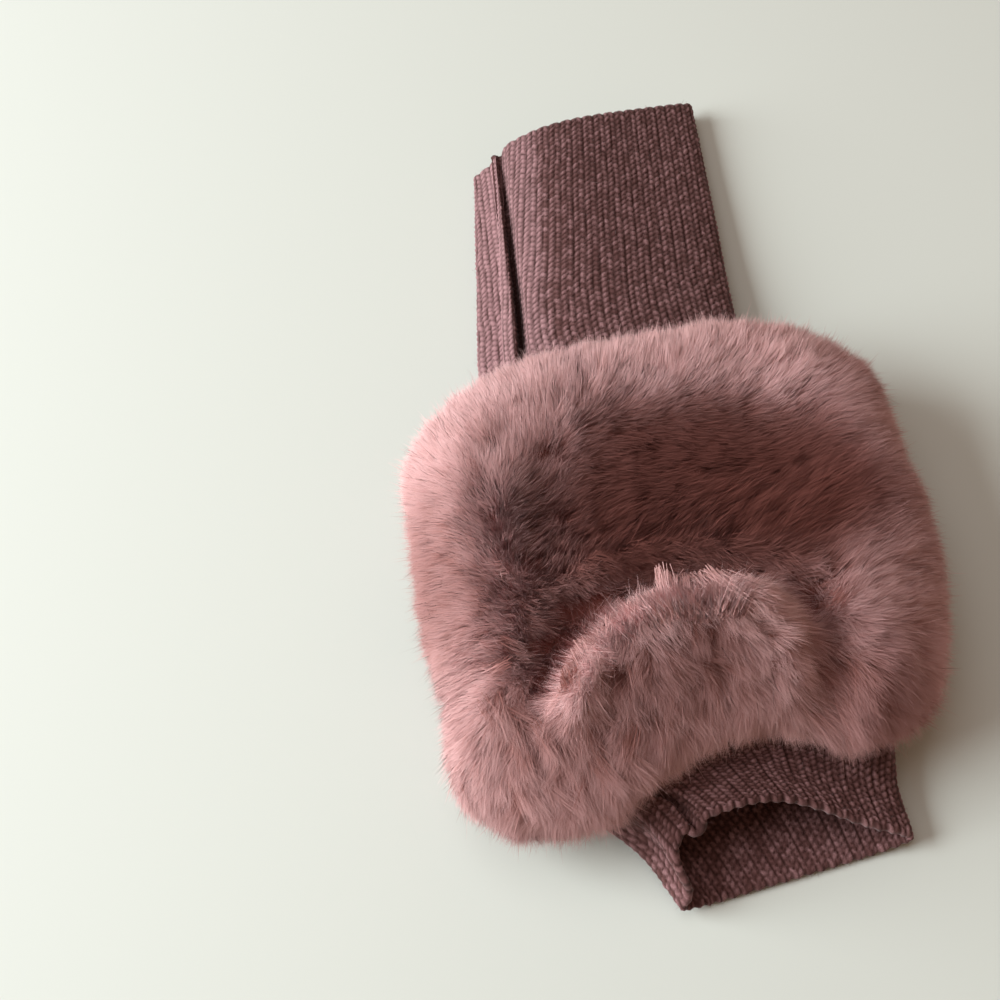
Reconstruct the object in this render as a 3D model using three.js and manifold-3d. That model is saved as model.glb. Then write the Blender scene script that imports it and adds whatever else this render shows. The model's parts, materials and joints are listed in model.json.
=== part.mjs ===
// A knitted fingerless glove with a deep faux fur panel over the back of the hand, lying palm down.
// The knit is one flattened tube in three lengths: a long ribbed wrist cuff, a plain hand with a thumb hole
// in the palm, and a short ribbed finger cuff. X runs across the hand, Y from fingers to wrist, Z up.
import * as THREE from "three";
import { mergeVertices } from "three/addons/utils/BufferGeometryUtils.js";
import Module from "manifold-3d";

const wasm = await Module();
wasm.setup();

// Driving sizes of the knit, in millimetres, each outside to outside as the glove lies.
const handLength = 96;
const handWidth = 92;
const handHeight = 21;
const wristCuffLength = 104;
const wristCuffWidth = 72;
const wristCuffHeight = 22;
const wristEndSlant = 9;
const fingerCuffLength = 29;
const fingerCuffWidth = 70;
const fingerCuffHeight = 22;
const fingerEndSlant = 5;
const upperLipSetBack = 12;
const restFlat = 1.6;

// The fabric: walls, ribs and the gaps between neighbouring pieces.
const handWall = 2;
const ribWall = 2.2;
const ribDepth = 1;
const waleCount = 44;
const pieceGap = 0.3;
const furGap = 0.4;

// Left edge of the tube, where it folds in on itself. The fold's height and spread, and the heights between
// which the upper layer steps in, are shares of the tube's height.
const pleatDepth = 11;
const pleatHeight = 0.46;
const pleatSpread = 0.17;
const lowerLayerStep = 8;
const stepFrom = 0.3;
const stepTo = 0.7;

// Thumb hole and its knitted rim.
const thumbHoleLength = 36;
const thumbHoleWidth = 21;
const thumbHoleAcross = 21;
const thumbHoleAlong = -2;
const thumbHoleTurn = 31;
const rimWall = 1.8;
const rimHeight = 5.5;
const rimLift = 0.2;

// The fur: how far the pile stands out past the hand at the sides and the ends, and above it, the size of its
// locks, the height at which it is widest, how full its shoulders and crown are, and how much it draws in below.
const pileSideReach = 24;
const pileEndReach = 16;
const pileTopReach = 25;
const lockReach = 4.5;
const lockRoot = 4;
const lockWidth = 20;
const lockLay = 13;
const sideRollHeight = 13;
const endRollHeight = 26;
const shoulderRound = 0.85;
const crownRound = 0.8;
const undercut = 0.22;

// How finely the curved forms are divided.
const tubePoints = 2 * waleCount;
const wristRings = 7;
const handRings = 8;
const fingerRings = 4;
const holePoints = 13;
const furTurns = 32;
const furBands = 10;

// Sections of the knit tube. "along" counts whole pieces: 0 to 1 is the hand from its finger end to its wrist end,
// over 1 the wrist cuff and under 0 the finger cuff. Widths and heights are shares of the piece's own size,
// "across" moves the middle by a share of the hand's width, and "pleat" and "step" are shares of the sizes above.
const tubeSections = [
  { along: -1, width: 0.91, height: 0.95, across: 0.098, pleat: 0.36, step: 0.1, square: 2.6 },
  { along: -0.55, width: 1.0, height: 1.05, across: 0.062, pleat: 0.5, step: 0.25, square: 2.6 },
  { along: 0, width: 1.21, height: 1.05, across: 0, pleat: 0.15, step: 0.1, square: 2.8 },
  { along: 0.25, width: 0.99, height: 1.03, across: 0, pleat: 0, step: 0, square: 3.5 },
  { along: 0.55, width: 1.0, height: 1.0, across: 0, pleat: 0, step: 0, square: 3.5 },
  { along: 0.8, width: 0.92, height: 1.02, across: -0.004, pleat: 0, step: 0.15, square: 3.2 },
  { along: 1, width: 1.06, height: 1.02, across: -0.008, pleat: 0.3, step: 0.6, square: 2.8 },
  { along: 1.25, width: 1.0, height: 1.04, across: -0.008, pleat: 1.0, step: 1.0, square: 2.8 },
  { along: 1.6, width: 0.985, height: 0.93, across: 0.055, pleat: 0.85, step: 1.0, square: 2.8 },
  { along: 2, width: 0.96, height: 0.83, across: 0.128, pleat: 0.5, step: 0.9, square: 2.8 },
];

// The fur's outline seen from above: "reach" is a share of the ellipse that the side and end reaches make.
const furOutline = [
  { turn: 0, reach: 0.99 },
  { turn: 20, reach: 1.05 },
  { turn: 40, reach: 1.23 },
  { turn: 60, reach: 1.19 },
  { turn: 80, reach: 1.06 },
  { turn: 100, reach: 1.06 },
  { turn: 120, reach: 1.16 },
  { turn: 140, reach: 1.17 },
  { turn: 160, reach: 1.02 },
  { turn: 180, reach: 0.98 },
  { turn: 200, reach: 1.03 },
  { turn: 220, reach: 1.19 },
  { turn: 240, reach: 1.09 },
  { turn: 260, reach: 0.82 },
  { turn: 280, reach: 0.75 },
  { turn: 300, reach: 0.92 },
  { turn: 320, reach: 1.13 },
  { turn: 340, reach: 1.04 },
];

// Hollows and folds of the fur. Places are shares of the half sizes of the fur seen from above, widths too:
// "length" runs along the fold, "back" and "front" are its two flanks, and "rise" is a share of the pile above the hand.
const furFolds = [
  { name: "hollow", across: 0.09, along: 0.28, turn: 5, length: 0.57, back: 0.33, front: 0.33, rise: -0.52 },
  { name: "roll_left", across: -0.51, along: -0.5, turn: 38, length: 0.23, back: 0.11, front: 0.22, rise: 0.24 },
  { name: "roll_middle", across: -0.04, along: -0.3, turn: 3, length: 0.3, back: 0.08, front: 0.25, rise: 0.4 },
  { name: "valley_right", across: 0.31, along: -0.62, turn: 75, length: 0.2, back: 0.1, front: 0.1, rise: -0.36 },
  { name: "swell_right", across: 0.6, along: -0.38, turn: 70, length: 0.29, back: 0.19, front: 0.19, rise: 0.1 },
];

const degrees = Math.PI / 180;
const lerp = THREE.MathUtils.lerp;
const smoothstep = THREE.MathUtils.smoothstep;

// A smooth curve through a table's rows: every other column at the value "key" of column "by".
function rowAt(rows, by, key) {
  let i = rows.findIndex((row) => row[by] >= key);
  i = Math.min(Math.max(i, 1), rows.length - 1);
  const span = rows[i][by] - rows[i - 1][by];
  const t = THREE.MathUtils.clamp((key - rows[i - 1][by]) / span, 0, 1);
  const result = {};
  for (const column of Object.keys(rows[i])) {
    if (typeof rows[i][column] !== "number") continue;
    const slope = (k) => {
      const low = rows[Math.max(k - 1, 0)];
      const high = rows[Math.min(k + 1, rows.length - 1)];
      return (high[column] - low[column]) / (high[by] - low[by]);
    };
    const from = rows[i - 1][column];
    const to = rows[i][column];
    result[column] =
      from * (2 * t ** 3 - 3 * t ** 2 + 1) +
      to * (3 * t ** 2 - 2 * t ** 3) +
      span * (slope(i - 1) * (t ** 3 - 2 * t ** 2 + t) + slope(i) * (t ** 3 - t ** 2));
  }
  return result;
}

// The tube's real sizes at a place along it. A cuff starts from its own size, so widths blend over the seam.
function tubeSizeAt(along) {
  const row = rowAt(tubeSections, "along", along);
  const inWrist = smoothstep(along, 0.8, 1);
  const inFinger = smoothstep(-along, -0.25, 0);
  const blend = (hand, wrist, finger) => lerp(lerp(hand, wrist, inWrist), finger, inFinger);
  return {
    halfWidth: (row.width * blend(handWidth, wristCuffWidth, fingerCuffWidth)) / 2,
    height: row.height * blend(handHeight, wristCuffHeight, fingerCuffHeight),
    across: row.across * handWidth,
    pleat: row.pleat * pleatDepth,
    step: row.step * lowerLayerStep,
    square: row.square,
  };
}

// One section of the tube: a superellipse flattened where it lies, whose left side steps in above the lower layer
// and folds in between the two. Returns points spaced evenly around it, from the middle of the palm to the left.
function sectionOutline(size, points) {
  const dense = 8 * points;
  const halfHeight = (size.height + restFlat) / 2;
  const outline = new THREE.CatmullRomCurve3([], true);
  for (let i = 0; i < dense; i++) {
    const angle = -(2 * Math.PI * i) / dense - Math.PI / 2;
    const cos = Math.cos(angle);
    const sin = Math.sin(angle);
    const wide = Math.sign(cos) * Math.abs(cos) ** (2 / size.square);
    const tall = Math.sign(sin) * Math.abs(sin) ** (2 / size.square);
    const rise = (tall + 1) / 2;
    const left = cos < 0 ? wide * wide : 0;
    const stepIn = size.step * smoothstep(rise, stepFrom, stepTo);
    const foldIn = size.pleat * Math.exp(-(((rise - pleatHeight) / pleatSpread) ** 2));
    const x = size.across + wide * size.halfWidth + left * (stepIn + foldIn);
    const z = Math.max(halfHeight * (tall + 1) - restFlat, 0);
    outline.points.push(new THREE.Vector3(x, 0, z));
  }
  outline.curveType = "catmullrom";
  outline.arcLengthDivisions = dense;
  return outline.getSpacedPoints(points).slice(0, points);
}

// Moves each point of a section outwards, or inwards where the distance is negative.
function offsetOutline(outline, distance) {
  const count = outline.length;
  return outline.map((point, i) => {
    const before = outline[(i + count - 1) % count];
    const after = outline[(i + 1) % count];
    const away = new THREE.Vector3(before.z - after.z, 0, after.x - before.x).normalize();
    const by = typeof distance === "function" ? distance(i) : distance;
    return point.clone().addScaledVector(away, by);
  });
}

// Where a section's point lies in Y, in one of the tube's three lengths. The cuffs' ends slant, and the finger
// cuff's upper lip is set back.
function placeAlong(zone, point, along, size) {
  const sideways = (point.x - size.across) / (2 * size.halfWidth);
  if (zone === "wrist") {
    return handLength / 2 + pieceGap + (along - 1) * (wristCuffLength + wristEndSlant * sideways);
  }
  if (zone === "finger") {
    const setBack = upperLipSetBack * smoothstep(point.z / size.height, 0.25, 1);
    return -handLength / 2 - pieceGap + along * (fingerCuffLength - setBack - fingerEndSlant * sideways);
  }
  return (along - 0.5) * handLength;
}

// One ring of the tube in its place: "shape" makes the ring from the plain section.
function ringAt(zone, along, points, shape = (outline) => outline) {
  const size = tubeSizeAt(along);
  return shape(sectionOutline(size, points)).map((point) => {
    point.y = placeAlong(zone, point, along, size);
    return point;
  });
}

function meshGeometry(vertices, triangles) {
  const geometry = new THREE.BufferGeometry();
  geometry.setAttribute("position", new THREE.Float32BufferAttribute(vertices.flatMap((v) => v.toArray()), 3));
  geometry.setIndex(triangles);
  return geometry;
}

// A wall between two stacks of rings. The inner rings may have fewer points than the outer ones.
function loftWall(outerRings, innerRings) {
  const outerCount = outerRings[0].length;
  const innerCount = innerRings[0].length;
  const vertices = [...outerRings.flat(), ...innerRings.flat()];
  const outer = (ring, i) => ring * outerCount + (i % outerCount);
  const inner = (ring, i) => outerRings.length * outerCount + ring * innerCount + (i % innerCount);
  const triangles = [];
  for (let ring = 0; ring + 1 < outerRings.length; ring++) {
    for (let i = 0; i < outerCount; i++) {
      triangles.push(outer(ring, i), outer(ring, i + 1), outer(ring + 1, i + 1));
      triangles.push(outer(ring, i), outer(ring + 1, i + 1), outer(ring + 1, i));
    }
    for (let i = 0; i < innerCount; i++) {
      triangles.push(inner(ring, i), inner(ring + 1, i + 1), inner(ring, i + 1));
      triangles.push(inner(ring, i), inner(ring + 1, i), inner(ring + 1, i + 1));
    }
  }
  const last = outerRings.length - 1;
  for (const [ring, order] of [[0, 1], [last, -1]]) {
    let i = 0;
    let j = 0;
    while (i < outerCount || j < innerCount) {
      const outerNext = j >= innerCount || (i < outerCount && (i + 0.5) * innerCount <= (j + 0.5) * outerCount);
      const face = outerNext
        ? [outer(ring, i), inner(ring, j), outer(ring, i + 1)]
        : [outer(ring, i), inner(ring, j), inner(ring, j + 1)];
      triangles.push(...(order > 0 ? face : face.reverse()));
      if (outerNext) i++;
      else j++;
    }
  }
  return meshGeometry(vertices, triangles);
}

// A closed solid through a stack of rings, with a flat fan at each end.
function loftSolid(rings) {
  const count = rings[0].length;
  const vertices = rings.flat();
  const triangles = [];
  for (let ring = 0; ring + 1 < rings.length; ring++) {
    for (let i = 0; i < count; i++) {
      const j = (i + 1) % count;
      triangles.push(ring * count + i, ring * count + j, (ring + 1) * count + j);
      triangles.push(ring * count + i, (ring + 1) * count + j, (ring + 1) * count + i);
    }
  }
  for (const [ring, order] of [[0, 1], [rings.length - 1, -1]]) {
    const middle = rings[ring].reduce((sum, v) => sum.add(v), new THREE.Vector3()).divideScalar(count);
    const centre = vertices.push(middle) - 1;
    for (let i = 0; i < count; i++) {
      const face = [centre, ring * count + ((i + 1) % count), ring * count + i];
      triangles.push(...(order > 0 ? face : face.reverse()));
    }
  }
  return meshGeometry(vertices, triangles);
}

function solidOf(geometry) {
  const bare = geometry.clone();
  for (const name of ["normal", "uv"]) bare.deleteAttribute(name);
  const merged = mergeVertices(bare, 1e-4);
  const solid = new wasm.Mesh({
    numProp: 3,
    vertProperties: new Float32Array(merged.attributes.position.array),
    triVerts: new Uint32Array(merged.index.array),
  });
  return new wasm.Manifold(solid);
}

function geometryOf(solid) {
  const mesh = solid.getMesh();
  const geometry = new THREE.BufferGeometry();
  geometry.setAttribute("position", new THREE.BufferAttribute(new Float32Array(mesh.vertProperties), 3));
  geometry.setIndex(new THREE.BufferAttribute(new Uint32Array(mesh.triVerts), 1));
  geometry.computeVertexNormals();
  return geometry;
}

const everyOther = (outline) => outline.filter((_, i) => i % 2 === 0);

// Evenly spaced places along the tube, both ends included.
function stations(from, to, count) {
  return Array.from({ length: count }, (_, i) => lerp(from, to, i / (count - 1)));
}

// A ribbed cuff: one ridge for each wale outside, smooth inside.
function ribbedCuff(zone, from, to, ringCount) {
  const ridges = (outline) => offsetOutline(outline, (i) => (i % 2 ? 0 : -ribDepth));
  const inside = (outline) => everyOther(offsetOutline(outline, -ribDepth - ribWall));
  const places = stations(from, to, ringCount);
  return loftWall(
    places.map((along) => ringAt(zone, along, tubePoints, ridges)),
    places.map((along) => ringAt(zone, along, tubePoints, inside)),
  );
}

const oval = (curve, length, width) => curve.absellipse(0, 0, length / 2, width / 2, 0, 2 * Math.PI);

// An upright oval prism standing at the thumb hole.
function thumbOval(length, width, low, high, bore) {
  const shape = oval(new THREE.Shape(), length, width);
  if (bore) shape.holes.push(oval(new THREE.Path(), bore.length, bore.width));
  const prism = new THREE.ExtrudeGeometry(shape, {
    depth: high - low,
    bevelEnabled: false,
    curveSegments: holePoints,
  });
  prism.rotateZ(thumbHoleTurn * degrees);
  prism.translate(thumbHoleAcross, thumbHoleAlong, low);
  return prism;
}

// The space of the thumb hole from under the palm to the middle of the hand, widened by a clearance.
function thumbOpening(clearance) {
  const length = thumbHoleLength + 2 * clearance;
  const width = thumbHoleWidth + 2 * clearance;
  return solidOf(thumbOval(length, width, -handHeight / 2, handHeight / 2));
}

// The plain knitted hand, with the thumb hole cut through the palm.
function handBody() {
  const inside = (outline) => everyOther(offsetOutline(outline, -handWall));
  const places = stations(0, 1, handRings);
  const outer = places.map((along) => ringAt("hand", along, tubePoints));
  const inner = places.map((along) => ringAt("hand", along, tubePoints, inside));
  const wall = solidOf(loftWall(outer, inner));
  return geometryOf(wall.subtract(thumbOpening(0)));
}

// The band knitted on round the thumb hole, turned a little way in.
function thumbRim() {
  const length = thumbHoleLength - 2 * pieceGap;
  const width = thumbHoleWidth - 2 * pieceGap;
  const bore = { length: length - 2 * rimWall, width: width - 2 * rimWall };
  return thumbOval(length, width, rimLift, rimLift + rimHeight, bore);
}

// Half sizes of the fur seen from above, and its height over the floor.
const furHalfWidth = handWidth / 2 + pileSideReach;
const furHalfLength = handLength / 2 + pileEndReach;
const furHeight = handHeight + pileTopReach;

// How far the folds lift the fur at a place seen from above.
function foldRise(x, y) {
  let rise = 0;
  for (const fold of furFolds) {
    const dx = x / furHalfWidth - fold.across;
    const dy = y / furHalfLength - fold.along;
    const cos = Math.cos(fold.turn * degrees);
    const sin = Math.sin(fold.turn * degrees);
    const lengthwise = dx * cos + dy * sin;
    const crosswise = dy * cos - dx * sin;
    const flank = crosswise > 0 ? fold.back : fold.front;
    rise += fold.rise * Math.exp(-((lengthwise / fold.length) ** 4) - (crosswise / flank) ** 2);
  }
  return rise * pileTopReach;
}

const outlineRows = [...furOutline, { ...furOutline[0], turn: 360 }];

// The fur's outer form as a low dome. "turn" runs round it in degrees, and "lean" from 0 at its crown through
// 90 at its widest to 180 where it meets the floor. "inset" draws the form in by that distance.
function furPoint(turn, lean, inset) {
  const reach = rowAt(outlineRows, "turn", ((turn % 360) + 360) % 360).reach;
  const cos = Math.cos(turn * degrees);
  const sin = Math.sin(turn * degrees);
  const rollHeight = lerp(sideRollHeight, endRollHeight, sin ** 4);
  const above = lean <= 90;
  const rising = Math.abs(Math.cos(lean * degrees));
  const spread = above ? Math.sin(lean * degrees) ** shoulderRound : 1 - undercut * rising ** 2;
  const x = (furHalfWidth * reach - inset) * spread * cos;
  const y = (furHalfLength * reach - inset) * spread * sin;
  const crown = furHeight - inset - rollHeight;
  const z = above
    ? rollHeight + crown * rising ** crownRound + foldRise(x, y) * Math.sqrt(rising)
    : rollHeight * (1 - rising);
  return new THREE.Vector3(x, y, z);
}

// One lock of pile: a flat four-sided tuft that leaves the surface and lies over outwards, by "lockLay" degrees.
function furLock(turn, lean, size) {
  const root = furPoint(turn, lean, lockReach + lockRoot);
  const tip = furPoint(turn, lean + lockLay * size, 0);
  tip.z = Math.max(tip.z, pieceGap);
  const middle = furPoint(turn, lean + 0.5 * lockLay * size, 0.35 * lockReach);
  const along = tip.clone().sub(root).normalize();
  const sideways = new THREE.Vector3(-Math.sin(turn * degrees), Math.cos(turn * degrees), 0);
  const over = new THREE.Vector3().crossVectors(along, sideways).normalize();
  const ring = (centre, width) =>
    [[1, 0], [0, 1], [-1, 0], [0, -1]].map(([a, b]) =>
      centre.clone().addScaledVector(sideways, (a * width) / 2).addScaledVector(over, (b * width) / 6),
    );
  const width = lockWidth * size;
  return loftSolid([ring(root, width), ring(middle, 0.8 * width), ring(tip, 0.15 * width)]);
}

// Locks in bands from the crown to the floor, each band turned against the last.
function furLocks() {
  const locks = [];
  const bands = [
    { lean: 18, count: 6, size: 0.9 },
    { lean: 38, count: 10, size: 1 },
    { lean: 57, count: 14, size: 1.05 },
    { lean: 75, count: 18, size: 1.05 },
    { lean: 94, count: 19, size: 1.05 },
    { lean: 116, count: 18, size: 1 },
  ];
  bands.forEach((band, row) => {
    for (let i = 0; i < band.count; i++) {
      const turn = ((i + (row % 2) / 2) / band.count) * 360;
      locks.push(furLock(turn, band.lean, band.size));
    }
  });
  return locks;
}

// The whole knit tube as one stack of rings, grown outwards.
function knitTubeGrown(distance) {
  const grown = (outline) => offsetOutline(outline, distance);
  const ring = (zone) => (along) => ringAt(zone, along, tubePoints, grown);
  return [
    ...stations(-1, 0, fingerRings).map(ring("finger")),
    ...stations(0, 1, handRings).map(ring("hand")),
    ...stations(1, 2, wristRings).map(ring("wrist")),
  ];
}

// The fur panel: dome and locks in one, hollowed round the knit tube and cut level with the floor.
function furPanel() {
  const dome = [];
  for (let band = 1; band <= furBands; band++) {
    const lean = (172 * band) / furBands;
    dome.push(
      Array.from({ length: furTurns }, (_, i) => furPoint((360 * i) / furTurns, lean, lockReach)),
    );
  }
  let fur = solidOf(loftSolid(dome.reverse()));
  for (const lock of furLocks()) fur = fur.add(solidOf(lock));
  fur = fur.subtract(solidOf(loftSolid(knitTubeGrown(furGap))));
  fur = fur.subtract(thumbOpening(furGap));
  const room = 4 * furHalfWidth;
  const floor = new THREE.BoxGeometry(room, room, room).translate(0, 0, -room / 2);
  fur = fur.subtract(solidOf(floor));
  const bodies = fur.decompose().sort((a, b) => b.volume() - a.volume());
  return geometryOf(bodies[0]);
}

const ribbedKnit = new THREE.MeshStandardMaterial({ name: "ribbed_knit", color: 0x8f6068, roughness: 0.95, metalness: 0 });
const plainKnit = new THREE.MeshStandardMaterial({ name: "plain_knit", color: 0x96666e, roughness: 0.95, metalness: 0 });
const fauxFur = new THREE.MeshStandardMaterial({ name: "faux_fur", color: 0xa87479, roughness: 0.9, metalness: 0 });

function piece(name, geometry, material) {
  const mesh = new THREE.Mesh(geometry, material);
  mesh.name = name;
  return mesh;
}

const glove = new THREE.Group();
glove.add(
  piece("wrist_cuff", ribbedCuff("wrist", 1, 2, wristRings), ribbedKnit),
  piece("hand_body", handBody(), plainKnit),
  piece("finger_cuff", ribbedCuff("finger", -1, 0, fingerRings), ribbedKnit),
  piece("thumb_rim", thumbRim(), plainKnit),
  piece("fur_panel", furPanel(), fauxFur),
);

// The part's origin is the middle of its footprint on the surface that it lies on.
const extent = new THREE.Box3().setFromObject(glove);
const middle = extent.getCenter(new THREE.Vector3());
glove.position.set(-middle.x, -middle.y, -extent.min.z);

export default glove;
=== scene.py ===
"""A knitted fingerless glove with a deep faux fur panel, lying palm down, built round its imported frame.

Every shape is worked out in millimetres in the hand's own frame: the origin is the middle of the palm on the
floor, +Y runs to the wrist, +X to the thumb side and +Z up. Points go into the meshes in metres, in the
frame's own axes.
"""

import json
import math

import bpy
import numpy as np
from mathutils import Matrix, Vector


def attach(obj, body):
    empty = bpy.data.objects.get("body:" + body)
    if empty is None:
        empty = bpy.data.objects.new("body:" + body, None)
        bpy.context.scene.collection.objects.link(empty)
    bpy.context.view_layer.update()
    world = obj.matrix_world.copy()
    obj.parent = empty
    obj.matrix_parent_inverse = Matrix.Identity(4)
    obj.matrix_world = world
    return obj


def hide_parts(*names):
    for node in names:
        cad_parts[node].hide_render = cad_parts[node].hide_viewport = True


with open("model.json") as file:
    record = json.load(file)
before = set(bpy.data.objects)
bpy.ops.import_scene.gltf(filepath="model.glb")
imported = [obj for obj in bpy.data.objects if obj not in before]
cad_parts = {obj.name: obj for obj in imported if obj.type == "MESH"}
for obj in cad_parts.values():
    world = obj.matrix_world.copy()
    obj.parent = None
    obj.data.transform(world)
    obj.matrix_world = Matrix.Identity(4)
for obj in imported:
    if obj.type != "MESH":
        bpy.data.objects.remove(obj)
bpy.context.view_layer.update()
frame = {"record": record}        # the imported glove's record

bl_info = {
    "name": "Faux Fur Fingerless Glove",
    "version": (1, 0, 0),
    "blender": (4, 5, 0),
    "location": "View3D > Sidebar > Glove",
    "description": "Builds a ribbed fingerless glove with a deep faux fur panel, and its stage",
    "category": "Add Mesh",
}

MM = 0.001
SEED = 20
REST_POINT = next(m["pos_m"] for m in frame["record"]["mounts"] if m["name"] == "rest_face")

# The knit tube: sizes outside to outside as it lies. The wrist cuff is a little longer than its solid and its
# end slants more, and the finger cuff's upper lip lies further back. The rest are the solids' sizes.
HAND_LENGTH = 96
HAND_WIDTH = 92
HAND_HEIGHT = 21
WRIST_LENGTH = 107
WRIST_WIDTH = 72
WRIST_HEIGHT = 22
WRIST_END_SLANT = 15
FINGER_LENGTH = 29
FINGER_WIDTH = 70
FINGER_HEIGHT = 22
FINGER_END_SLANT = 5
UPPER_LIP_SET_BACK = 16.5
REST_FLAT = 1.6
PIECE_GAP = 0.3
PLEAT_DEPTH = 11
PLEAT_HEIGHT = 0.46
PLEAT_SPREAD = 0.17
GAP_DEPTH = 6
GAP_WIDTH = 1.0
GAP_BEYOND = 5.6
# Painted light: how far the wrist cuff's left flank, which faces the window light, is paled towards the
# heather.
FLANK_PAINTED_LIGHT = 1.5
LOWER_LAYER_STEP = 11
LOWER_LAYER_OUT = 0.27
STEP_FROM = 0.3
STEP_TO = 0.7
OUTLINE_STEPS = 1024

# Sections along the tube: 0 to 1 is the hand, over 1 the wrist cuff and under 0 the finger cuff.
TUBE_SECTIONS = [
    dict(along=-1.00, width=0.91, height=0.95, across=0.098, pleat=0.36, step=0.1, square=2.6, slope=0.5),
    dict(along=-0.55, width=1.00, height=1.05, across=0.062, pleat=0.5, step=0.25, square=2.6, slope=0.45),
    dict(along=0.00, width=1.21, height=1.05, across=0.0, pleat=0.15, step=0.1, square=2.8, slope=0.2),
    dict(along=0.25, width=0.99, height=1.03, across=0.0, pleat=0.0, step=0.0, square=3.5, slope=0.0),
    dict(along=0.55, width=1.00, height=1.00, across=0.0, pleat=0.0, step=0.0, square=3.5, slope=0.0),
    dict(along=0.80, width=0.92, height=1.02, across=-0.004, pleat=0.0, step=0.15, square=3.2, slope=0.0),
    dict(along=1.00, width=1.09, height=1.02, across=-0.008, pleat=0.3, step=0.6, square=2.5, slope=0.1),
    dict(along=1.25, width=1.13, height=1.04, across=-0.010, pleat=1.0, step=1.0, square=2.15, slope=0.25),
    dict(along=1.60, width=1.11, height=0.95, across=0.053, pleat=0.85, step=1.0, square=2.1, slope=0.38),
    dict(along=2.00, width=1.065, height=0.87, across=0.129, pleat=0.5, step=0.9, square=2.1, slope=0.42),
]

# The knit: 44 rib wales round each cuff, and twice as many finer ones round the plain hand, whose stitches
# stand out by HAND_RELIEF of the ribs'.
RIB_WALES = 44
HAND_WALES = 88
RIB_WALL = 2.4
HAND_WALL = 1.8
WRIST_COURSES = 58
HAND_COURSES = 50
FINGER_COURSES = 16
LEG_SLANT = 0.5
RIB_GROOVE = 0.03
HAND_GROOVE = 0.1
HAND_RELIEF = 0.4
FUZZ_LENGTH = 1.6
FUZZ_WIDTH = 0.07
WRIST_FIBRES = 6500
FINGER_FIBRES = 3500

# The thumb hole and its rim.
THUMB_LENGTH = 36
THUMB_WIDTH = 21
THUMB_ACROSS = 21
THUMB_ALONG = -2
THUMB_TURN = math.radians(31)
RIM_WALL = 1.8
RIM_HEIGHT = 5.5
RIM_LIFT = 0.2
RIM_STITCHES = 46
RIM_RELIEF = 0.45

# The pile: locks of hairs, each drawn from HAIR_FROM of its length up, over a dense lower pile.
PILE_PIECES = 4
HAIR_FROM = 0.35
LOCK_RADIUS = 2.3
LOWEST_LEAN = 158
LOWER_PILE_INSET = 6.0
LOWER_PILE_TURNS = 150
LOWER_PILE_BANDS = 44
TUBE_MARGIN = 0.6

# The fur's envelope, which the tips of its pile reach.
PILE_SIDE_REACH = 24
PILE_END_REACH = 16
PILE_TOP_REACH = 25
SIDE_ROLL_HEIGHT = 13
END_ROLL_HEIGHT = 26
SHOULDER_ROUND = 0.85
CROWN_ROUND = 0.8
UNDERCUT = 0.22
FUR_HALF_WIDTH = HAND_WIDTH / 2 + PILE_SIDE_REACH
FUR_HALF_LENGTH = HAND_LENGTH / 2 + PILE_END_REACH
FUR_HEIGHT = HAND_HEIGHT + PILE_TOP_REACH
FUR_REACHES = (
    0.99, 1.05, 1.23, 1.19, 1.06, 1.06, 1.16, 1.17, 1.02, 0.98,
    1.03, 1.23, 1.09, 0.82, 0.78, 0.97, 1.035, 1.0, 0.99,
)
FUR_OUTLINE = [dict(turn=20 * place, reach=reach) for place, reach in enumerate(FUR_REACHES)]
FUR_FOLDS = [
    dict(name="hollow", across=0.09, along=0.28, turn=5, length=0.57, back=0.33, front=0.33, rise=-0.52),
    dict(name="roll_left", across=-0.51, along=-0.5, turn=38, length=0.23, back=0.11, front=0.22, rise=0.24),
    dict(name="roll_middle", across=-0.04, along=-0.33, turn=-3, length=0.29, back=0.08, front=0.25, rise=0.38),
    dict(name="valley_right", across=0.31, along=-0.62, turn=75, length=0.2, back=0.12, front=0.12, rise=-0.17),
    dict(name="swell_right", across=0.6, along=-0.38, turn=70, length=0.29, back=0.19, front=0.19, rise=0.1),
]

# The stage, with its places in millimetres in the hand's frame.
FLOOR_REACH = 3000.0
WINDOW_PLACE = (-1255, 190, 650)
WINDOW_SIZE = 950
WINDOW_COLOUR = (0.9, 1.0, 0.99)
SKY_PLACE = (-350, 350, 1300)
SKY_SIZE = 900
SKY_COLOUR = (0.92, 0.98, 1.0)
LIGHT_TARGET = (0, 0, 10)
FILL_COLOUR = (1.0, 0.70, 0.47, 1)
CAMERA_PLACE = (-79.62, -153.09, 370.84)
CAMERA_TARGET = (-38.63, 39.78, 0)
CAMERA_LENS = 54.43


def blend_rows(rows, key, places):
    """Every column of a table at the given places: a smooth cubic through the rows, whose slope at a row is
    that of the line between its neighbours."""
    by = np.array([row[key] for row in rows], float)
    places = np.asarray(places, float)
    upper = np.clip(np.searchsorted(by, places, side="left"), 1, len(by) - 1)
    span = by[upper] - by[upper - 1]
    t = np.clip((places - by[upper - 1]) / span, 0, 1)
    before = np.maximum(np.arange(len(by)) - 1, 0)
    after = np.minimum(np.arange(len(by)) + 1, len(by) - 1)
    columns = {}
    for name in rows[0]:
        value = np.array([row[name] for row in rows], float)
        slope = (value[after] - value[before]) / (by[after] - by[before])
        columns[name] = (
            value[upper - 1] * (2 * t**3 - 3 * t**2 + 1)
            + value[upper] * (3 * t**2 - 2 * t**3)
            + span * (slope[upper - 1] * (t**3 - 2 * t**2 + t) + slope[upper] * (t**3 - t**2))
        )
    return columns


def smoothstep(x, low, high):
    """0 below low, 1 above high, and 3t^2 - 2t^3 between them."""
    t = np.clip((x - low) / (high - low), 0, 1)
    return t * t * (3 - 2 * t)


def unit(vectors):
    """The same vectors at length 1."""
    return vectors / np.maximum(np.linalg.norm(vectors, axis=-1, keepdims=True), 1e-9)


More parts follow.
